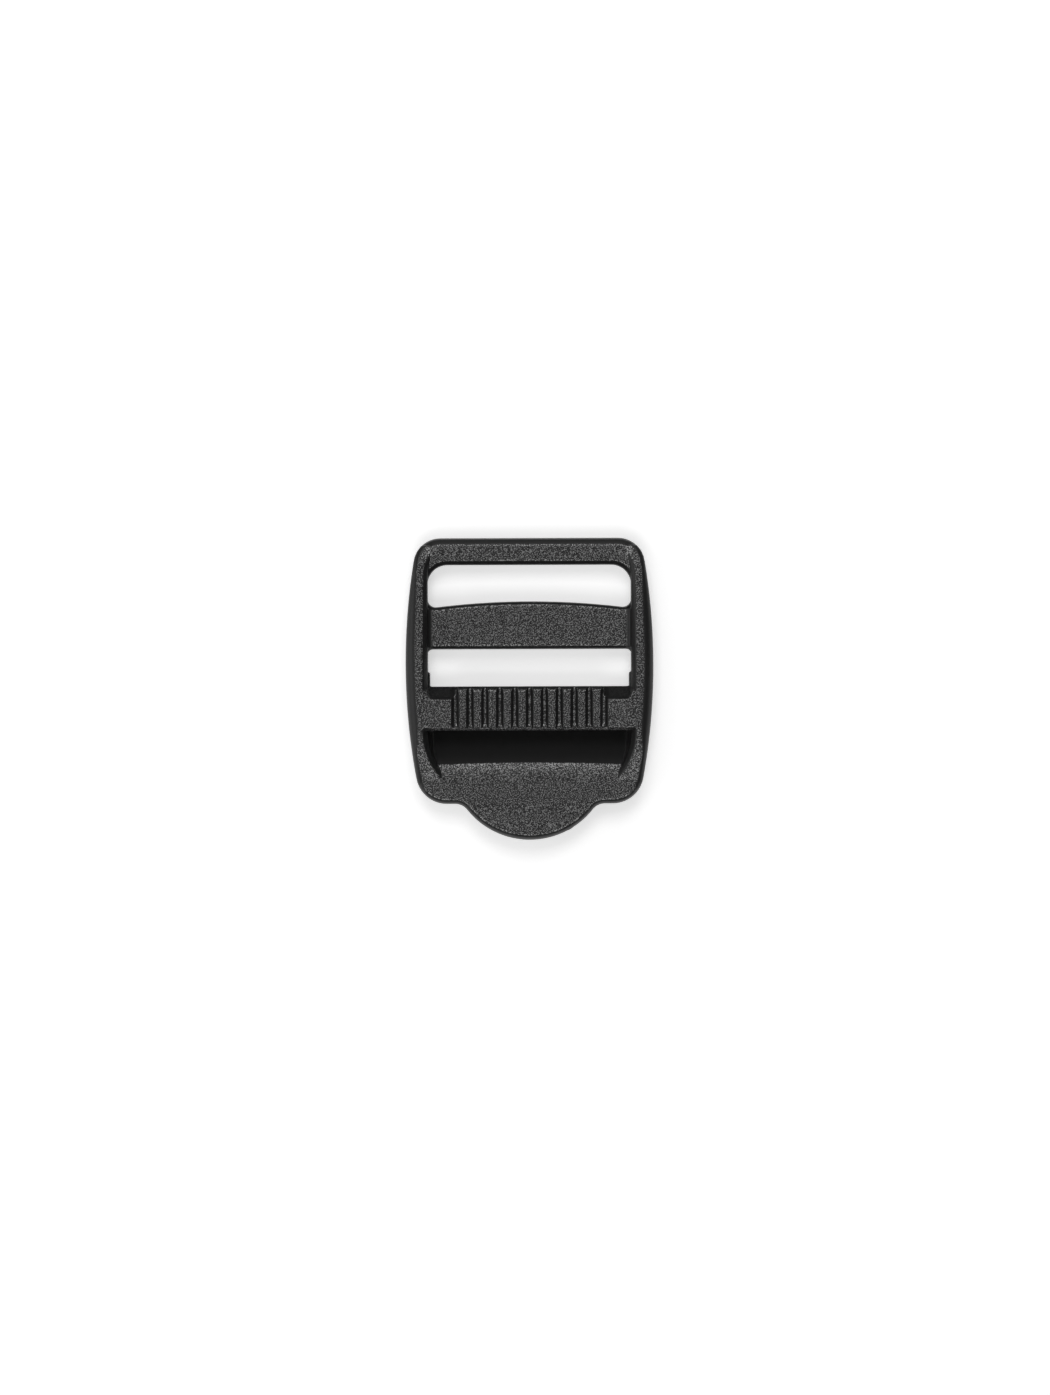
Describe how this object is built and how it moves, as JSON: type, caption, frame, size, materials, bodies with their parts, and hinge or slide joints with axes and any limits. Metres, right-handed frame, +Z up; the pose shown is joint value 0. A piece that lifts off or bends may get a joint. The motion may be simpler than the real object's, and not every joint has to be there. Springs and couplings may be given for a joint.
{
  "type": "ladder lock strap slider",
  "caption": "Black plastic ladder-lock slider for flat webbing: a bowed frame with an anchor bar, a crowned centre bar, a ribbed lock bar and a rounded lift tab.",
  "frame": {"origin": "under the middle of the length and the width, on the plane of the rails' flat undersides", "axes": "+X across the webbing, +Y along the webbing towards the anchor bar, +Z up out of the grained face"},
  "size_m": [0.0322, 0.0392, 0.0068],
  "materials": {
    "moulding": "black acetal, fine spark grain on the upward faces, smoother on the steep walls and in the throat"
  },
  "bodies": {
    "root": {"left_rail": "moulding", "right_rail": "moulding", "anchor_bar": "moulding", "centre_bar": "moulding", "lock_bar": "moulding", "grip_ribs": "moulding", "strap_ramp": "moulding", "lift_tab": "moulding", "left_shoulder": "moulding", "right_shoulder": "moulding"}
  },
  "joints": []
}
